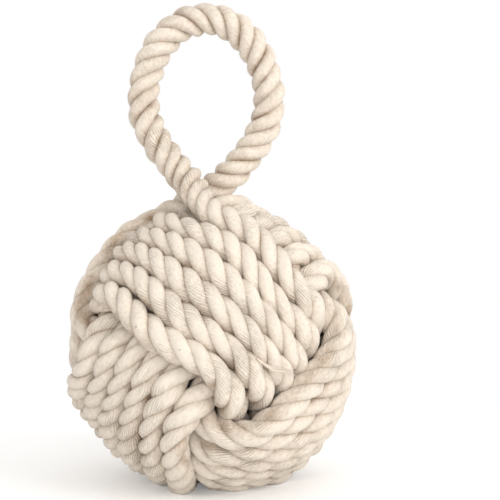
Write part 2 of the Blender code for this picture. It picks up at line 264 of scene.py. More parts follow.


# %% [markdown]
# ## A rope along a path
# The skin is a grid. One way it follows the path, the other way it goes around the section, and the
# whole section turns as it goes along, which lays the strands. Because the grid turns with them, the
# grooves always fall on its own lines and stay sharp. Its UV map gives the distance along the rope
# and the distance around it, from which the material draws the yarns. An attribute named groove
# holds painted shade: it darkens the colour in the creases between strands, on the flanks that lie
# against a neighbour, and all over the free rope.

# %% Rope skin
def add_mesh(name, vertices, quads, triangles, uv):
    """A mesh object from arrays: vertices, four-cornered and three-cornered faces, and corner UVs."""
    corners = np.concatenate([quads.ravel(), triangles.ravel()])
    starts = np.concatenate([np.arange(len(quads)) * 4, quads.size + np.arange(len(triangles)) * 3])
    mesh = bpy.data.meshes.new(name)
    mesh.vertices.add(len(vertices))
    mesh.vertices.foreach_set("co", vertices.astype(np.float32).ravel())
    mesh.loops.add(len(corners))
    mesh.loops.foreach_set("vertex_index", corners.astype(np.int32))
    mesh.polygons.add(len(starts))
    mesh.polygons.foreach_set("loop_start", starts.astype(np.int32))
    mesh.uv_layers.new(name="yarn")
    mesh.update(calc_edges=True)
    mesh.uv_layers["yarn"].data.foreach_set("uv", uv.astype(np.float32).ravel())
    mesh.validate()
    mesh.shade_smooth()
    thing = bpy.data.objects.new(name, mesh)
    bpy.context.scene.collection.objects.link(thing)
    return thing


def distance_along(points):
    """Running sum of the distances from point to point."""
    return np.concatenate([[0.0], np.cumsum(np.linalg.norm(np.diff(points, axis=0), axis=1))])


def slow_waves(length, columns, shortest, longest, rng):
    """Sum of three sine waves in each column, with random lengths and phases."""
    total = np.zeros((len(length), columns))
    for _ in range(3):
        wave = rng.uniform(shortest, longest, columns)
        phase = rng.uniform(0.0, 2.0 * np.pi, columns)
        total += np.sin(2.0 * np.pi * length[:, None] / wave + phase)
    return total


def add_groove(thing, shade):
    """Attribute named groove, with a value of painted shade at each vertex from 0 for none to 1 for the
    darkest.
    """
    groove = thing.data.attributes.new("groove", "FLOAT", "POINT")
    groove.data.foreach_set("value", shade.astype(np.float32))


SHARP_CREASE = math.radians(50.0)       # an edge that is bent more than this is shaded as a sharp one
UV_APART = 0.37                # metres of UV map from one rope or strand to the next
PLUMP = 0.018                  # share by which one wave makes a strand fuller or thinner
PLUMP_WAVES = (14.0 * MM, 60.0 * MM)    # shortest and longest of these waves
UNEVEN_TWIST = math.radians(3.0)        # by which one wave turns the strands forward or back
TWIST_WAVES = (40.0 * MM, 90.0 * MM)    # shortest and longest of these waves
LINE_SHADE = 0.75              # painted shade: the dark line at the bottom of a crease
LINE_POWER = 8.0               # how narrow that line is
SOFT_SHADE = 0.32              # painted shade that spreads from the crease over the strands in the knot
SOFT_SHADE_FREE = 1.00         # the same painted shade on free rope, darker there
SOFT_POWER = 1.7               # how near to the crease that shade stays
FREE_ROPE_SHADE = 0.22                 # painted shade all over the free rope, which darkens the handle
FLANK_SHADE = 0.8              # painted shade on the flanks that lie against a neighbour
FLANK_POWER = 6.0              # how near to the middle of the flank that shade stays


def rope_skin(name, points, side, up, half_side, half_up, turned, pressed, seed):
    """Closed skin of a three-strand rope.

    point = path + section * (side * half_side * cos(a) + up * half_up * sin(a)), a = angle + turned.
    The section of each strand swells and shrinks in slow waves, and the twist is a little uneven.
    pressed is 1 where neighbours lie against the rope's flanks, and 0 where it is free. What would
    lie under the floor is flattened on it.
    """
    rng = np.random.default_rng(seed)
    length = distance_along(points)
    strand = np.arange(RING_POINTS) // STRAND_POINTS
    swell = PLUMP * slow_waves(length, STRANDS, *PLUMP_WAVES, rng)[:, strand]
    turned = turned + UNEVEN_TWIST * slow_waves(length, 1, *TWIST_WAVES, rng)[:, 0]
    groove_depth = (1.0 - SECTION[:-1]) / (1.0 - SECTION.min())
    angle = SECTION_ANGLES[None, :-1] + turned[:, None]
    reach = SECTION[None, :-1] * (1.0 + swell * (1.0 - groove_depth))
    rings = points[:, None] + (reach * np.cos(angle) * half_side[:, None])[..., None] * side[:, None]
    rings = rings + (reach * np.sin(angle) * half_up[:, None])[..., None] * up[:, None]
    rings[..., 2] = np.maximum(rings[..., 2], 0.0)

    count = len(points)
    index = np.arange(count * RING_POINTS).reshape(count, RING_POINTS)
    following = np.roll(index, -1, axis=1)
    quads = np.stack([index[:-1], following[:-1], following[1:], index[1:]], axis=-1)
    first, last = count * RING_POINTS, count * RING_POINTS + 1
    start_cap = np.stack([following[0], index[0], np.full(RING_POINTS, first)], axis=-1)
    end_cap = np.stack([index[-1], following[-1], np.full(RING_POINTS, last)], axis=-1)

    along = np.broadcast_to(length[:, None] + seed * UV_APART, (count, RING_POINTS + 1))
    around = (SECTION_ANGLES[None, :] + turned[:, None]) * ROPE_FREE / 2
    grid = np.stack([along, around], axis=-1)
    quad_uv = np.stack([grid[:-1, :-1], grid[:-1, 1:], grid[1:, 1:], grid[1:, :-1]], axis=2)
    quad_uv[..., 1] += strand[None, :, None] * UV_APART
    cap_uv = np.zeros((2 * RING_POINTS, 3, 2))
    uv = np.concatenate([quad_uv.reshape(-1, 2), cap_uv.reshape(-1, 2)])
    vertices = np.concatenate([rings.reshape(-1, 3), points[:1], points[-1:]])
    thing = add_mesh(name, vertices, quads.reshape(-1, 4), np.concatenate([start_cap, end_cap]), uv)

    # Painted shade: the groove attribute darkens the creases, the flanks that lie against a neighbour, and
    # the whole free rope.
    soft = SOFT_SHADE_FREE + (SOFT_SHADE - SOFT_SHADE_FREE) * pressed[:, None]
    flank = FLANK_SHADE * pressed[:, None] * np.abs(np.cos(angle)) ** FLANK_POWER
    unshaded = (1.0 - LINE_SHADE * groove_depth**LINE_POWER) * (1.0 - soft * groove_depth**SOFT_POWER)
    unshaded = unshaded * (1.0 - FREE_ROPE_SHADE * (1.0 - pressed[:, None]))
    shade = 1.0 - unshaded * (1.0 - flank)
    add_groove(thing, np.append(shade.ravel(), [1.0, 1.0]))
    thing.data.set_sharp_from_angle(angle=SHARP_CREASE)
    return thing


# %% [markdown]
# ## The turns of the knot
# Inside the knot the rope is pressed sideways against its neighbours, so its section is an oval. The
# strands of all six turns of a set cross at the same angles about the ball: then a full strand of one
# turn faces a groove of the next, and the ropes nest in each other with a zigzag seam, as soft ropes
# do under tension.

# %% Turns of the knot
LAY_IN_KNOT = 37.0 * MM        # length of rope in which one strand goes once around
LAYS_PER_TURN = 2.0 * math.pi * OVER_RADIUS / LAY_IN_KNOT
HALF_UP = 7.3 * MM             # crest radius of the rope at right angles to the ball
RING_STEP = 0.9                # degrees from ring to ring
STRAY = 0.22 * MM              # share that each of three waves has in moving a turn off its lane
STRAY_WAVES = (50.0 * MM, 110.0 * MM)   # shortest and longest of these waves
STRAY_SEED = 100               # added to a turn's own seed for these waves
UNEVEN_START = 0.2             # radians by which the strands of one turn may be ahead of the next
SET_PHASE = {"first_set": 0.3, "second_set": 1.1, "third_set": 0.7}    # radians


def turn_lay(set_name, degrees):
    """Angle that the strands have turned at an angle about the set's axis."""
    return np.radians(degrees) * LAYS_PER_TURN + SET_PHASE[set_name]


END_ANGLE = math.degrees(END_GAP / 2 / UNDER_RADIUS)    # half the gap between a turn's two ends


def add_turn(name, set_name, index, degrees, seed, end=1.0):
    """One turn, or a part of one, that stands for the tube of that name in the construction model.

    end is the share of the full section at each point, which rounds off a free end. No rope lies
    quite straight, so slow waves move it a little to each side.
    """
    rng = np.random.default_rng(STRAY_SEED + seed)
    points, half_side = turn_path(set_name, index, degrees)
    side, up, _ = turn_frames(set_name, index, degrees)
    points = points + side * STRAY * slow_waves(distance_along(points), 1, *STRAY_WAVES, rng)
    turned = turn_lay(set_name, degrees) + rng.uniform(-UNEVEN_START, UNEVEN_START)
    everywhere = np.ones(len(degrees))
    rope = rope_skin(f"rope_{name}", points, side, up, half_side * end, HALF_UP * end * everywhere,
                     turned, everywhere, seed)
    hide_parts(name)
    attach(rope, "knot")
    return rope


ROOTED = ("first_set", "third_set")     # their first turns are legs of the handle
turns = []
for set_number, set_name in enumerate(SETS):
    start = SETS[set_name][3]
    whole = np.linspace(start + END_ANGLE, start + 360.0 - END_ANGLE, int(360.0 / RING_STEP))
    for index in range(TURNS):
        if index > 0 or set_name not in ROOTED:
            name = f"{set_name}_turn_{index + 1}"
            turns.append(add_turn(name, set_name, index, whole, 1 + set_number * TURNS + index))
print(len(turns), "turns,", len(turns[0].data.polygons), "faces each")

# %% [markdown]
# ## The two ends of the rope
# Two turns lift off to become the legs of the handle. The rest of each of their lanes is filled by an
# end of the rope, tucked in under its neighbours, so that only a short blunt end shows beside a leg.

# %% Rope ends
TAIL_ENDS = {"first_set": -42.0, "third_set": 132.0}    # degrees about the set's axis
BLUNT = 5.0 * MM               # length over which an end is rounded off
BLUNT_STOP = 0.98              # share of it where the rounding stops, which leaves a small flat tip
TAIL_SEED = 30                 # the seed of an end is this and the number of turns made before it


def rounded_end(length):
    """Share of the full section near the last point: sqrt(1 - (1 - distance / BLUNT)^2)."""
    inward = np.clip(1.0 - (length[-1] - length) / BLUNT, 0.0, BLUNT_STOP)
    return np.sqrt(1.0 - inward * inward)


for set_name, last_angle in TAIL_ENDS.items():
    part_turn = np.arange(SETS[set_name][3] + END_ANGLE, last_angle, RING_STEP / 2)
    end = rounded_end(distance_along(turn_path(set_name, 0, part_turn)[0]))
    turns.append(add_turn(f"{set_name}_tail", set_name, 0, part_turn, TAIL_SEED + len(turns), end))
print("ends:", turns[-2].name, turns[-1].name)

# %% [markdown]
# ## The rope that is also the handle
# The handle isn't a separate ring: the first turn of the front set leaves the knot, makes the loop,
# and goes back in as the first turn of another set. So it is one long skin. Its path joins two turns,
# two short curves out of the knot, and a teardrop, and a weighted average along it rounds the places
# where they meet.

# %% Path of the handle
hinge = np.array(frame["joints"][0]["pos_m"])
HALF_WIDTH = 33.3 * MM         # from the loop's middle to the middle of its rope, at the widest
SHOULDER = 33.0 * MM           # from the hinge axis up to the widest place
CROWN = 44.4 * MM              # from there to the middle of the rope at the top
LEG_GAP = 18.5 * MM            # between the two legs at the hinge axis
LEG_LEAN = math.radians(37.0)  # from upright of each leg at the hinge axis
LEG_PULL = 0.36                # share of the shoulder's height for which a leg keeps that lean
SIDE_PULL = 0.42               # share of the shoulder's height for which a side stays upright
LEFT_LIFT = -15.0              # degrees about the first set's axis where its first turn lifts off
RIGHT_LIFT = 158.5             # degrees about the third set's axis where its first turn lifts off
LEFT_RISE = unit(np.array([-0.7, 0.45, 0.75]))      # direction in which the rope comes to the left foot
RIGHT_RISE = unit(np.array([0.75, -0.1, 0.8]))      # and to the right foot
LEFT_ROOT_PULL = 10.0 * MM     # how far a turn keeps its own direction as it lifts off
RIGHT_ROOT_PULL = 16.0 * MM
RISE_PULL = 8.0 * MM           # how far the rope keeps the direction in which it comes to a foot
CURVE_POINTS = 80              # points along one curve
CROWN_POINTS = 160             # points over the top of the loop
PATH_STEP = 0.8 * MM           # from point to point of the finished path
ROUNDING = 5.0 * MM            # reach of the average that rounds it
FOOT_ASIDE = np.array([(ROPE_FREE + LEG_GAP) / 2, 0.0, 0.0])


def bezier(start, start_pull, end_pull, end):
    """(1-t)^3 start + 3(1-t)^2 t start_pull + 3(1-t) t^2 end_pull + t^3 end."""
    t = np.linspace(0.0, 1.0, CURVE_POINTS)[:, None]
    rest = 1.0 - t
    return rest**3 * start + 3 * rest**2 * t * start_pull + 3 * rest * t**2 * end_pull + t**3 * end


def loop_path():
    """Teardrop from the left foot over the top to the right foot: a curve, half an ellipse, a curve."""
    middle = hinge + np.array([0.0, 0.0, SHOULDER])
    width = np.array([HALF_WIDTH, 0.0, 0.0])
    drop = np.array([0.0, 0.0, SHOULDER * SIDE_PULL])
    left_foot, right_foot = hinge - FOOT_ASIDE, hinge + FOOT_ASIDE
    lean = np.array([math.sin(LEG_LEAN), 0.0, math.cos(LEG_LEAN)]) * SHOULDER * LEG_PULL
    mirror = np.array([-1.0, 1.0, 1.0])
    left = bezier(left_foot, left_foot + lean * mirror, middle - width - drop, middle - width)
    right = bezier(middle + width, middle + width - drop, right_foot + lean, right_foot)
    angle = np.linspace(math.pi, 0.0, CROWN_POINTS)[1:-1]
    flat = np.zeros(len(angle))
    over = middle + np.stack([HALF_WIDTH * np.cos(angle), flat, CROWN * np.sin(angle)], axis=1)
    return np.concatenate([left, over, right])


def root_path(set_name, lift, pull, rise, foot):
    """Curve from where a turn lifts off, up to just below a foot of the loop."""
    at = np.array([lift])
    point = turn_path(set_name, 0, at)[0][0]
    along = turn_frames(set_name, 0, at)[2][0]
    end = foot - rise * ROPE_FREE / 2
    return bezier(point, point - along * pull, end - rise * RISE_PULL, end)


def resample(points, step):
    """The same line with points at equal distances of about step."""
    length = distance_along(points)
    even = np.linspace(0.0, length[-1], int(length[-1] / step) + 1)
    return np.stack([np.interp(even, length, points[:, k]) for k in range(3)], axis=1)


def rounded(points, step, reach):
    """Weighted average along an even line, with Gaussian weights of width reach. It fades out over
    the first and last three reaches, where the line has to keep its place."""
    span = int(3 * reach / step)
    weights = np.exp(-0.5 * (np.arange(-span, span + 1) * step / reach) ** 2)
    padded = np.pad(points, ((span, span), (0, 0)), mode="edge")
    weights = weights / weights.sum()
    mean = np.stack([np.convolve(padded[:, k], weights, "valid") for k in range(3)], axis=1)
    place = np.arange(len(points)) * step
    fade = ease(place / (3 * reach)) * ease((place[-1] - place) / (3 * reach))
    return points + (mean - points) * fade[:, None]


left_root = root_path("first_set", LEFT_LIFT, LEFT_ROOT_PULL, LEFT_RISE, hinge - FOOT_ASIDE)
right_root = root_path("third_set", RIGHT_LIFT, RIGHT_ROOT_PULL, RIGHT_RISE, hinge + FOOT_ASIDE)
free_path = np.concatenate([left_root[:-1], loop_path(), right_root[-2::-1]])
free_path = rounded(resample(free_path, PATH_STEP), PATH_STEP, ROUNDING)
print("free rope", round(len(free_path) * PATH_STEP / MM), "mm")


# %% Running rope
LAY_IN_HANDLE = 28.5 * MM      # length of free rope in which one strand goes once around
FREE_CREST = 8.5 * MM          # crest radius of the rope where nothing presses on it
FREEING = 40.0 * MM            # length over which the pressed rope becomes free rope


def add_running_rope(seed):
    """The rope from the first set's first turn through the handle into the third set's first turn.

    It is one path in three parts. The strands' angle follows each set's own rule in the knot. In the
    free part it is the running sum of 2 pi ds / lay, scaled a little so that it meets the second rule.
    """
    left_degrees = np.arange(SETS["first_set"][3] + 360.0 - END_ANGLE, LEFT_LIFT, -RING_STEP)
    right_degrees = np.arange(RIGHT_LIFT, SETS["third_set"][3] + 360.0 - END_ANGLE, RING_STEP)[1:]
    left_points, left_half = turn_path("first_set", 0, left_degrees)
    right_points, right_half = turn_path("third_set", 0, right_degrees)
    points = np.concatenate([left_points, free_path, right_points])
    along = unit(np.gradient(points, axis=0))
    n_left, n_free, n_right = len(left_points), len(free_path), len(right_points)

    handle_side = np.array([0.0, 1.0, 0.0])
    left_side = STANCE[:, SETS["first_set"][2]]
    right_side = STANCE[:, SETS["third_set"][2]]
    left_sign = 1.0 if left_side @ handle_side > 0 else -1.0
    right_sign = 1.0 if right_side @ handle_side > 0 else -1.0
    place = np.arange(n_free) * PATH_STEP
    out = ease(place / FREEING)[:, None]
    back = ease((place[-1] - place) / FREEING)[:, None]
    free_side = left_sign * left_side * (1.0 - out) + handle_side * (out + back - 1.0)
    free_side = free_side + right_sign * right_side * (1.0 - back)
    across = np.concatenate([np.tile(left_sign * left_side, (n_left, 1)), free_side,
                             np.tile(right_sign * right_side, (n_right, 1))])
    side = unit(across - along * (along * across).sum(axis=1, keepdims=True))
    up = np.cross(along, side)

    free = np.minimum(out, back)[:, 0]
    end_half = np.where(place < place[-1] / 2, left_half[-1], right_half[0])
    half_side = np.concatenate([left_half, end_half + (FREE_CREST - end_half) * free, right_half])
    half_up = HALF_UP + (FREE_CREST - HALF_UP) * np.concatenate([np.zeros(n_left), free, np.zeros(n_right)])

    left_turned = -turn_lay("first_set", left_degrees) + (0.0 if left_sign > 0 else math.pi)
    right_turned = turn_lay("third_set", right_degrees) + (0.0 if right_sign > 0 else math.pi)
    lay = LAY_IN_KNOT + (LAY_IN_HANDLE - LAY_IN_KNOT) * free
    free_turned = np.cumsum(2.0 * np.pi * PATH_STEP / lay)
    start = left_turned[-1]
    short = (right_turned[0] - start - free_turned[-1] + THIRD / 2) % THIRD - THIRD / 2
    free_turned = start + free_turned * (1.0 + short / free_turned[-1])
    jump = free_turned[-1] - right_turned[0]
    right_turned = right_turned + round(jump / THIRD) * THIRD
    turned = np.concatenate([left_turned, free_turned, right_turned])
    pressed = np.concatenate([np.ones(n_left), 1.0 - free, np.ones(n_right)])
    rope = rope_skin("running_rope", points, side, up, half_side, half_up, turned, pressed, seed)
    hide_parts("first_set_turn_1", "handle_loop", "third_set_turn_1")
    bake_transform(rope)
    return rope


running_rope = add_running_rope(seed=40)
ropes = turns + [running_rope]
print("running rope,", len(running_rope.data.polygons), "faces")

# %% [markdown]
# ## Cotton
# Natural cotton rope is warm off-white and quite matt. Each strand is spun from yarns of about one
# and a half millimetres that lie nearly along the rope, with the finer hatch of the fibres on them,
# and here and there a brown fleck of seed. A node group draws all this from the rope's own UV map, in
# metres, so that the yarns follow every bend.

# %% Node helpers
def add_node(tree, kind, **settings):
    """A node of a tree with its settings. Inputs are given by name in a dictionary."""
    inputs = settings.pop("inputs", {})
    node = tree.nodes.new(kind)
    for key, value in settings.items():
        setattr(node, key, value)
    for key, value in inputs.items():
        if isinstance(value, bpy.types.NodeSocket):
            tree.links.new(value, node.inputs[key])
        else:
            node.inputs[key].default_value = value
    return node


def math_node(tree, operation, first, second=0.0):
    """Result of one step of arithmetic."""
    return add_node(tree, "ShaderNodeMath", operation=operation, inputs={0: first, 1: second}).outputs[0]


def noise(tree, place, scale, detail, roughness=0.5, dimensions="3D"):
    """Noise from about 0 to 1, with about scale waves to each unit of place, and detail finer layers."""
    node = add_node(tree, "ShaderNodeTexNoise", noise_dimensions=dimensions, inputs={
        "Vector": place, "Scale": scale, "Detail": detail, "Roughness": roughness})
    return node.outputs["Fac"]


def weighted_sum(tree, terms):
    """Sum over terms of weight * (value - centre)."""
    total = 0.0
    for value, centre, weight in terms:
        term = math_node(tree, "MULTIPLY", math_node(tree, "SUBTRACT", value, centre), weight)
        total = math_node(tree, "ADD", term, total)
    return total


def clamped(tree, value, low, high):
    """The value, held between low and high."""
    return add_node(tree, "ShaderNodeClamp", inputs={"Value": value, "Min": low, "Max": high}).outputs[0]


def mix_colour(tree, share, first, second):
    """first * (1 - share) + second * share."""
    node = add_node(tree, "ShaderNodeMix", data_type="RGBA", inputs={0: share, 6: first, 7: second})
    return node.outputs[2]


def new_group(name, inputs, outputs):
    """An empty node group with named sockets, and its input and output nodes."""
    group = bpy.data.node_groups.new(name, "ShaderNodeTree")
    for direction, sockets in (("INPUT", inputs), ("OUTPUT", outputs)):
        for socket, kind, default in sockets:
            made = group.interface.new_socket(name=socket, in_out=direction, socket_type=kind)
            if default is not None:
                made.default_value = default
    return group, group.nodes.new("NodeGroupInput"), group.nodes.new("NodeGroupOutput")


# %% Colours and yarns of the cotton
COTTON_LIGHT = (0.88, 0.79, 0.685, 1.0)
# Dark end of the tone, for the clouds of colour and for the painted shade in creases, flanks and seams.
COTTON_DARK = (0.37, 0.25, 0.155, 1.0)
SEED_BROWN = (0.20, 0.125, 0.07, 1.0)
YARN_WIDTH = 1.5 * MM
YARN_SLANT = 0.16              # how far a yarn moves around the rope for each length along it
YARN_FULL = 0.7                # power that makes the top of a yarn broad and its seam narrow
WANDER = 3.0 * MM              # greatest shift of the yarns by a slow noise
FIBRES_ALONG = 260.0           # noise waves to the metre along a yarn, for fibres about 4 mm long
FIBRES_ACROSS = 2600.0         # and across it, for fibres about 0.4 mm apart
FLECK_CELLS = 90.0             # cells to the metre, some of which hold a fleck
FLECK_NONE = 0.93              # share of the cells that hold none
FLECK_SIZE = 0.035             # half the width of a fleck, as a share of a cell
FLECK_STRENGTH = 0.8           # of the darkest fleck
print("yarns of", round(YARN_WIDTH / MM, 1), "mm")


# %% Cotton yarn group
def yarn_and_fibre(group, inside, uv):
    """Height of the yarns and of the fibres, and a tone of its own for each yarn.

    A yarn's height is |sin(pi * across / width)|^YARN_FULL, where across is the distance across the
    yarns. That distance wanders with a slow noise. The fibres are noise that is drawn out along the
    yarn.
    """
    split = add_node(group, "ShaderNodeSeparateXYZ", inputs={"Vector": uv})
    along, around = split.outputs["X"], split.outputs["Y"]
    slow = noise(group, uv, scale=130.0, detail=2.0, dimensions="2D")
    wander = math_node(group, "MULTIPLY", slow, WANDER)
    slanted = math_node(group, "MULTIPLY", along, inside.outputs["Slant"])
    across = math_node(group, "ADD", math_node(group, "ADD", around, wander), slanted)
    phase = math_node(group, "DIVIDE", across, inside.outputs["Yarn Width"])
    sine = math_node(group, "SINE", math_node(group, "MULTIPLY", phase, math.pi))
    yarn = math_node(group, "ABSOLUTE", sine)
    own = add_node(group, "ShaderNodeTexWhiteNoise", noise_dimensions="1D", inputs={
        "W": math_node(group, "FLOOR", phase)}).outputs["Value"]
    drawn_out = add_node(group, "ShaderNodeCombineXYZ", inputs={
        "X": math_node(group, "MULTIPLY", along, FIBRES_ALONG),
        "Y": math_node(group, "MULTIPLY", across, FIBRES_ACROSS)}).outputs["Vector"]
    fibre = noise(group, drawn_out, scale=1.0, detail=4.0, roughness=0.7, dimensions="2D")
    return math_node(group, "POWER", yarn, YARN_FULL), fibre, own


def seed_flecks(group, uv):
    """A few cells of a Voronoi pattern hold a fleck at their middle, faint or strong by their colour."""
    cells = add_node(group, "ShaderNodeTexVoronoi", voronoi_dimensions="2D", inputs={
        "Vector": uv, "Scale": FLECK_CELLS, "Randomness": 1.0})
    random = add_node(group, "ShaderNodeSeparateColor", inputs={"Color": cells.outputs["Color"]})
    chosen = math_node(group, "GREATER_THAN", random.outputs["Red"], FLECK_NONE)
    near = math_node(group, "LESS_THAN", cells.outputs["Distance"], FLECK_SIZE)
    strength = math_node(group, "MULTIPLY", random.outputs["Green"], FLECK_STRENGTH)
    return math_node(group, "MULTIPLY", math_node(group, "MULTIPLY", chosen, near), strength)


def cotton_yarn_group():
    """Colour, roughness and height of spun cotton. The tone runs from light to dark: creases are
    darkest, with painted shade from the groove attribute made patchy by a noise, then come the seams
    between yarns, painted shade that shows best where the nap is worn, and clouds of colour lie over all."""
    group, inside, outside = new_group(
        "cotton_yarn",
        [("Light", "NodeSocketColor", COTTON_LIGHT), ("Dark", "NodeSocketColor", COTTON_DARK),
         ("Yarn Width", "NodeSocketFloat", YARN_WIDTH), ("Slant", "NodeSocketFloat", YARN_SLANT)],
        [("Color", "NodeSocketColor", None), ("Roughness", "NodeSocketFloat", None),
         ("Height", "NodeSocketFloat", None)])
    uv = add_node(group, "ShaderNodeUVMap", uv_map="yarn").outputs["UV"]
    place = add_node(group, "ShaderNodeTexCoord").outputs["Object"]
    groove = add_node(group, "ShaderNodeAttribute", attribute_name="groove").outputs["Fac"]
    yarn, fibre, own = yarn_and_fibre(group, inside, uv)
    nap = noise(group, uv, scale=560.0, detail=4.0, roughness=0.7, dimensions="2D")
    cloud = noise(group, place, scale=30.0, detail=3.0)
    shade_patches = weighted_sum(group, [(noise(group, place, scale=75.0, detail=3.0), 0.35, 3.0)])
    shade_patches = clamped(group, shade_patches, low=0.35, high=1.0)
    worn = weighted_sum(group, [(noise(group, place, scale=42.0, detail=2.0), 0.47, 6.0)])
    worn = clamped(group, worn, low=0.15, high=1.0)
    # Painted shade in the creases from the groove attribute, made patchy by a noise.
    crease = math_node(group, "MULTIPLY", groove, shade_patches)
    # Painted shade in the seams between yarns, which are also a real dip in the height.
    seam = math_node(group, "MULTIPLY", math_node(group, "SUBTRACT", 1.0, yarn), worn)
    tone = weighted_sum(group, [
        (crease, 0.0, 1.10), (seam, 0.1, 0.34), (own, 0.5, 0.07), (fibre, 0.5, -0.50), (nap, 0.5, -0.75),
        (cloud, 0.47, 0.50), (1.0, 0.0, 0.02)])
    tone = clamped(group, tone, low=0.0, high=1.0)
    colour = mix_colour(group, tone, inside.outputs["Light"], inside.outputs["Dark"])
    colour = mix_colour(group, seed_flecks(group, uv), colour, SEED_BROWN)
    height = weighted_sum(group, [(seam, 0.0, -0.9), (fibre, 0.0, 0.9), (nap, 0.0, 0.5)])
    rough = weighted_sum(group, [(fibre, 0.0, 0.12), (1.0, 0.0, 0.84)])
    for socket, value in (("Color", colour), ("Roughness", rough), ("Height", height)):
        group.links.new(value, outside.inputs[socket])
    return group


cotton_yarn = cotton_yarn_group()
print("group", cotton_yarn.name, len(cotton_yarn.nodes), "nodes")


# %% Cotton material
def cotton_material(name, light, dark, yarn_width):
    """Matt cotton with its yarns and fibres, and a little sheen from the nap."""
    material = bpy.data.materials.new(name)
    material.use_nodes = True
    tree = material.node_tree
    shader = tree.nodes["Principled BSDF"]
    shader.inputs["Sheen Weight"].default_value = 0.12
    shader.inputs["Sheen Roughness"].default_value = 0.7
    shader.inputs["Specular IOR Level"].default_value = 0.1
    yarn = add_node(tree, "ShaderNodeGroup", node_tree=cotton_yarn, inputs={
        "Light": light, "Dark": dark, "Yarn Width": yarn_width})
    bump = add_node(tree, "ShaderNodeBump", inputs={
        "Strength": 0.9, "Distance": 0.8 * MM, "Height": yarn.outputs["Height"]})
    tree.links.new(yarn.outputs["Color"], shader.inputs["Base Color"])
    tree.links.new(yarn.outputs["Roughness"], shader.inputs["Roughness"])
    tree.links.new(bump.outputs["Normal"], shader.inputs["Normal"])
    return material


cotton = cotton_material("cream_cotton_rope", COTTON_LIGHT, COTTON_DARK, YARN_WIDTH)
for rope in ropes:
    rope.data.materials.append(cotton)
print("cotton on", len(ropes), "ropes")


# %% [markdown]
# ## Loose fibres
# Cotton rope is never quite smooth. Short fibres stand off it everywhere, which softens its outline,
# and in two places a yarn has worked out of a seam and frayed. Each fibre is a thin three-sided tube
# with a few rings, so that thousands of them stay light.

# %% Fibre tubes
FIBRE_SIDES = 3
FIBRE_RINGS = 5
TAPER = 0.8                    # share of its thickness that a fibre loses from root to tip
UNUSED_WAY = np.array([0.31, 0.52, 0.79])   # no fibre runs quite this way, so it fixes their sides
FIBRE_UV = (0.3, 0.011)        # end of the line on the UV map from which fibres take their tones


def fibre_mesh(name, paths, thickness):
    """Tubes around many paths at once, given as an array (fibre, ring, 3). They taper to the tip:
    half thickness = thickness * (1 - TAPER t^2), with t from 0 at the root to 1 at the tip."""
    count, rings = paths.shape[:2]
    along = unit(np.gradient(paths, axis=1))
    aside = unit(np.cross(along, UNUSED_WAY))
    above = np.cross(along, aside)
    t = np.linspace(0.0, 1.0, rings)
    half = thickness * (1.0 - TAPER * t**2)
    angle = np.arange(FIBRE_SIDES) * 2.0 * np.pi / FIBRE_SIDES
    spoke = np.cos(angle)[:, None] * aside[:, :, None] + np.sin(angle)[:, None] * above[:, :, None]
    vertices = (paths[:, :, None] + half[None, :, None, None] * spoke).reshape(-1, 3)
    index = np.arange(len(vertices)).reshape(count, rings, FIBRE_SIDES)
    following = np.roll(index, -1, axis=2)
    quads = np.stack([index[:, :-1], following[:, :-1], following[:, 1:], index[:, 1:]], axis=-1)
    caps = np.concatenate([index[:, 0, ::-1], index[:, -1]])
    corners = quads.size + caps.size
    uv = np.stack([np.linspace(0.0, FIBRE_UV[0], corners), np.full(corners, FIBRE_UV[1])], axis=1)
    thing = add_mesh(name, vertices, quads.reshape(-1, 4), caps, uv)
    add_groove(thing, np.zeros(len(vertices)))
    thing.data.materials.append(cotton)
    return thing


def skin_points(things, count, rng, keep):
    """Random vertices of some ropes with their normals, of those that keep() lets through."""
    places, normals = [], []
    for thing in things:
        size = len(thing.data.vertices)
        place, normal = np.empty(size * 3, np.float32), np.empty(size * 3, np.float32)
        thing.data.vertices.foreach_get("co", place)
        thing.data.vertices.foreach_get("normal", normal)
        places.append(place.reshape(-1, 3))
        normals.append(normal.reshape(-1, 3))
    places, normals = np.concatenate(places), np.concatenate(normals)
    good = np.flatnonzero(keep(places, normals))
    chosen = rng.choice(good, count, replace=False)
    return places[chosen].astype(float), normals[chosen].astype(float)


UPRIGHT = (0.25, 0.9)          # least and greatest share that the normal has in a fibre's direction
CURL = 0.35                    # how much a fibre bends in a random direction
DROOP = 0.3                    # how much it bends back towards the skin
ROOT = 0.12                    # share of its length that lies below the skin


def standing_fibres(places, normals, shortest, longest, rng):
    """Curved hairs: place + length * (direction * s + bend * s |s|), with s from -ROOT to 1 and the
    direction between the normal and a random sideways one."""
    count = len(places)
    sideways = unit(np.cross(normals, rng.normal(size=(count, 3))))
    direction = unit(normals * rng.uniform(*UPRIGHT, (count, 1)) + sideways)
    bend = unit(rng.normal(size=(count, 3))) * CURL - normals * DROOP
    length = rng.uniform(shortest, longest, (count, 1, 1))
    s = np.linspace(-ROOT, 1.0, FIBRE_RINGS)[None, :, None]
    return places[:, None] + length * (direction[:, None] * s + bend[:, None] * s * np.abs(s))


print("a fibre has", (FIBRE_RINGS - 1) * FIBRE_SIDES + 2, "faces")

# %% [markdown]
# ## Fuzz
# The fuzz is what makes the cotton look soft against a white ground. The knot's fibres stay with the
# knot and the loop's lean with it, so they are two meshes. None is rooted near the bend of the legs,
# where it would have to follow both, or next to the floor.

# %% Fuzz
FIBRE_HALF = 0.045 * MM        # half the thickness of a fibre at its root
FACING = 0.3                   # least share of a vertex's normal that points away from the ball
FLOOR_FREE = 4.0 * MM          # height above the floor that stays free of fibres
BEND_TOP = 0.185               # height from which the whole loop leans
fuzz_rng = np.random.default_rng(seed=7)


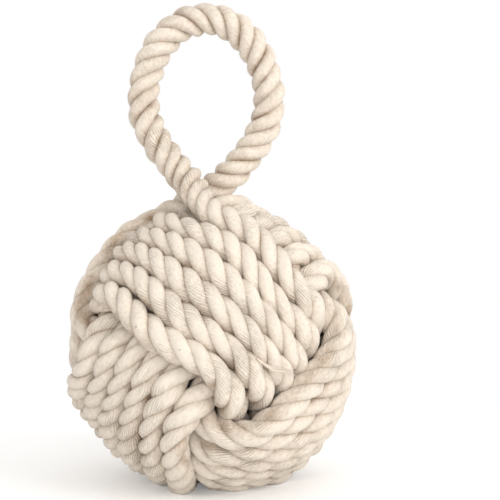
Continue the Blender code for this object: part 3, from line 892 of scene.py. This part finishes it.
def on_ball(places, normals):
    """Skin of the knot that faces outwards and is well above the floor."""
    outward = places - KNOT_MIDDLE
    distance = np.linalg.norm(outward, axis=1)
    facing = (normals * outward).sum(axis=1) / distance
    return (distance > OVER_RADIUS) & (facing > FACING) & (places[:, 2] > FLOOR_FREE)


def on_handle(places, normals):
    """Skin of the loop above the place where it bends."""
    return places[:, 2] > BEND_TOP


def add_fuzz(name, things, count, keep, shortest, longest):
    """Standing fibres on count random vertices of some ropes."""
    places, normals = skin_points(things, count, fuzz_rng, keep)
    fibres = standing_fibres(places, normals, shortest, longest, fuzz_rng)
    return fibre_mesh(name, fibres, FIBRE_HALF)


knot_fuzz = add_fuzz("knot_fuzz", turns, 2600, on_ball, shortest=1.2 * MM, longest=3.2 * MM)
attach(knot_fuzz, "knot")
handle_fuzz = add_fuzz("handle_fuzz", [running_rope], 900, on_handle, shortest=1.0 * MM, longest=2.8 * MM)
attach(handle_fuzz, "handle")
print("fuzz:", len(knot_fuzz.data.polygons) + len(handle_fuzz.data.polygons), "faces")

# %% [markdown]
# ## Frayed yarns
# Where a yarn has worked loose between two lanes of the front set, its fibres come apart towards the
# tip. It is made as a few thicker tubes that start as one bundle and spread along a smooth path.

# %% Frayed yarns
YARN_RINGS = 24
YARN_REPEATS = 4               # copies of each point of the path while it is rounded
YARN_ROUNDING = 5.0            # reach of the average that rounds it, counted in those copies
BUNDLE = 0.25 * MM             # how far the fibres lie from the yarn's middle at its root
SPREAD_POWER = 1.5             # how late the fibres spread
WAVES = (0.3, 0.9)             # shortest and longest wave of a fibre, as a share of the yarn
WAVE_HEIGHT = 0.12             # millimetres by which one wave moves a fibre at its tip


def frayed_yarn(name, lanes, angles, heights, fibres, spread, thickness, rng):
    """Yarn of the front set that has come out of a seam.

    Its middle runs through points on the knot, each given by a lane counted from the set's first
    turn, an angle and a height over the middle of the rope. The fibres lie beside it and spread
    towards the tip: offset = random direction * (BUNDLE + spread * t^SPREAD_POWER), with slow waves
    that grow with t.
    """
    points = []
    for lane, angle, height in zip(lanes, angles, heights):
        point = turn_path("first_set", lane, np.array([angle]))[0][0]
        points.append(point + unit(point - KNOT_MIDDLE) * height)
    t = np.linspace(0.0, 1.0, YARN_RINGS)
    knots = np.linspace(0.0, 1.0, len(points))
    middle = np.stack([np.interp(t, knots, np.array(points)[:, k]) for k in range(3)], axis=1)
    middle = rounded(np.repeat(middle, YARN_REPEATS, axis=0), 1.0, YARN_ROUNDING)[::YARN_REPEATS]
    offset = unit(rng.normal(size=(fibres, 1, 3))) * (BUNDLE + spread * t[:, None] ** SPREAD_POWER)
    waves = slow_waves(t, fibres * 3, *WAVES, rng).T.reshape(fibres, 3, len(t)).transpose(0, 2, 1)
    paths = middle[None] + offset + waves * WAVE_HEIGHT * MM * t[:, None]
    yarn = fibre_mesh(name, paths, thickness)
    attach(yarn, "knot")
    return yarn


yarn_rng = np.random.default_rng(seed=11)
long_yarn = frayed_yarn("frayed_yarn_long", lanes=[3.5, 3.45, 3.35, 3.0, 2.75],
                        angles=[36.5, 39.5, 43.0, 46.5, 51.0],
                        heights=[5.0 * MM, 7.6 * MM, 9.2 * MM, 10.2 * MM, 9.6 * MM],
                        fibres=18, spread=1.5 * MM, thickness=0.25 * MM, rng=yarn_rng)
short_yarn = frayed_yarn("frayed_yarn_short", lanes=[1.5, 1.5, 1.6], angles=[-2.0, 2.0, 6.0],
                         heights=[4.0 * MM, 6.4 * MM, 7.2 * MM],
                         fibres=7, spread=0.8 * MM, thickness=0.14 * MM, rng=yarn_rng)
print("frayed yarns:", long_yarn.name, short_yarn.name)

# %% [markdown]
# ## The weight
# The core is hidden, but someone who opens the model should find a cast cement ball and not a blank.
# It keeps the mesh of the construction model and gets a grey, sandy, pitted finish, its grey painted
# darker than cast cement as painted shade where it shows through the holes at the knot's corners.

# %% Cement
# Grey of cast cement, painted darker as shade for the holes at the knot's corners.
CEMENT_DARK = (0.12, 0.115, 0.105, 1.0)
CEMENT_LIGHT = (0.34, 0.33, 0.31, 1.0)


def cement_material():
    """Grey from a ramp over two noises, one of sand grains and one of clouds, and pits where a
    Voronoi distance is small."""
    material = bpy.data.materials.new("cast_cement")
    material.use_nodes = True
    tree = material.node_tree
    shader = tree.nodes["Principled BSDF"]
    place = add_node(tree, "ShaderNodeTexCoord").outputs["Object"]
    sand = noise(tree, place, scale=900.0, detail=4.0)
    cloud = noise(tree, place, scale=35.0, detail=3.0)
    cells = add_node(tree, "ShaderNodeTexVoronoi", inputs={"Vector": place, "Scale": 240.0})
    pits = math_node(tree, "MINIMUM", math_node(tree, "MULTIPLY", cells.outputs["Distance"], 4.0), 1.0)
    tone = weighted_sum(tree, [(sand, 0.0, 0.5), (cloud, 0.0, 0.6)])
    ramp = add_node(tree, "ShaderNodeValToRGB", inputs={"Fac": tone})
    dark, light = ramp.color_ramp.elements
    dark.position, dark.color = 0.3, CEMENT_DARK
    light.position, light.color = 0.8, CEMENT_LIGHT
    height = weighted_sum(tree, [(sand, 0.0, 0.4), (pits, 0.0, 1.0)])
    bump = add_node(tree, "ShaderNodeBump", inputs={
        "Strength": 0.5, "Distance": 0.4 * MM, "Height": height})
    rough = weighted_sum(tree, [(sand, 0.0, 0.15), (1.0, 0.0, 0.8)])
    tree.links.new(ramp.outputs["Color"], shader.inputs["Base Color"])
    tree.links.new(bump.outputs["Normal"], shader.inputs["Normal"])
    tree.links.new(rough, shader.inputs["Roughness"])
    return material


core = frame["nodes"]["core_weight"]
cement = cement_material()
core.data.materials.clear()
core.data.materials.append(cement)
print("cement on", core.name)


# %% [markdown]
# ## Light and floor
# The photograph was taken on a white sweep. A broad lamp stands high on the right and the front, the
# white room fills the shadows, and only a pale shadow falls to the left.

# %% Light and floor
LAMP_COLOUR = (1.0, 0.98, 0.95)
ROOM_COLOUR = (1.0, 0.99, 0.975, 1.0)
PURE_WHITE = (1.0, 1.0, 1.0, 1.0)
FLOOR_COLOUR = (0.93, 0.93, 0.93, 1.0)
FLOOR_SIZE = 8.0               # metres along a side
FLOOR_GLOW = 0.16              # light that the floor gives off for the camera
FADE_FROM = 0.16               # metres from the middle at which the floor begins to fade into white
FADE_TO = 0.40                 # and at which it has


def add_area_light(name, place, size, power):
    """Square lamp that faces the middle of the knot."""
    data = bpy.data.lights.new(name, "AREA")
    data.size = size
    data.energy = power
    data.color = LAMP_COLOUR
    lamp = bpy.data.objects.new(name, data)
    lamp.location = place
    lamp.rotation_euler = (Vector(KNOT_MIDDLE) - Vector(place)).to_track_quat("-Z", "Y").to_euler()
    bpy.context.scene.collection.objects.link(lamp)
    return lamp


def add_room(strength):
    """White room light, and pure white where the camera looks past the floor."""
    world = bpy.data.worlds.new("white_room")
    bpy.context.scene.world = world
    world.use_nodes = True
    tree = world.node_tree
    tree.nodes.clear()
    rays = add_node(tree, "ShaderNodeLightPath")
    seen = math_node(tree, "MAXIMUM", rays.outputs["Is Camera Ray"], rays.outputs["Is Glossy Ray"])
    room = add_node(tree, "ShaderNodeBackground", inputs={"Color": ROOM_COLOUR, "Strength": strength})
    white = add_node(tree, "ShaderNodeBackground", inputs={"Color": PURE_WHITE, "Strength": 1.0})
    mix = add_node(tree, "ShaderNodeMixShader", inputs={
        0: seen, 1: room.outputs["Background"], 2: white.outputs["Background"]})
    out = add_node(tree, "ShaderNodeOutputWorld")
    tree.links.new(mix.outputs["Shader"], out.inputs["Surface"])


def add_floor():
    """Pale floor. For the camera it glows a little, so that it is white where it is lit, and away
    from the knot it fades into the white of the room, so that no horizon shows."""
    half = FLOOR_SIZE / 2
    corners = [(-half, -half, 0.0), (half, -half, 0.0), (half, half, 0.0), (-half, half, 0.0)]
    mesh = bpy.data.meshes.new("floor")
    mesh.from_pydata(corners, [], [(0, 1, 2, 3)])
    floor = bpy.data.objects.new("floor", mesh)
    bpy.context.scene.collection.objects.link(floor)
    material = bpy.data.materials.new("pale_floor")
    material.use_nodes = True
    tree = material.node_tree
    shader = tree.nodes["Principled BSDF"]
    shader.inputs["Base Color"].default_value = FLOOR_COLOUR
    shader.inputs["Roughness"].default_value = 0.9
    shader.inputs["Specular IOR Level"].default_value = 0.0
    shader.inputs["Emission Color"].default_value = PURE_WHITE
    rays = add_node(tree, "ShaderNodeLightPath")
    seen = math_node(tree, "MAXIMUM", rays.outputs["Is Camera Ray"], rays.outputs["Is Glossy Ray"])
    tree.links.new(math_node(tree, "MULTIPLY", seen, FLOOR_GLOW), shader.inputs["Emission Strength"])
    place = add_node(tree, "ShaderNodeTexCoord").outputs["Object"]
    distance = add_node(tree, "ShaderNodeVectorMath", operation="LENGTH", inputs={0: place})
    away = add_node(tree, "ShaderNodeMapRange", interpolation_type="SMOOTHSTEP", inputs={
        "Value": distance.outputs["Value"], "From Min": FADE_FROM, "From Max": FADE_TO})
    white = add_node(tree, "ShaderNodeEmission", inputs={"Color": PURE_WHITE, "Strength": 1.0})
    faded = math_node(tree, "MULTIPLY", away.outputs["Result"], seen)
    mix = add_node(tree, "ShaderNodeMixShader", inputs={
        0: faded, 1: shader.outputs["BSDF"], 2: white.outputs["Emission"]})
    tree.links.new(mix.outputs["Shader"], tree.nodes["Material Output"].inputs["Surface"])
    mesh.materials.append(material)
    return floor


add_room(strength=0.90)
key_light = add_area_light("key_light", place=(1.10, -0.85, 0.78), size=0.9, power=9.0)
fill_light = add_area_light("low_fill_light", place=(0.05, -1.35, 0.06), size=0.8, power=10.0)
add_floor()
bpy.context.scene.view_settings.view_transform = "Standard"
print("lamps:", key_light.data.energy, "and", fill_light.data.energy, "W")
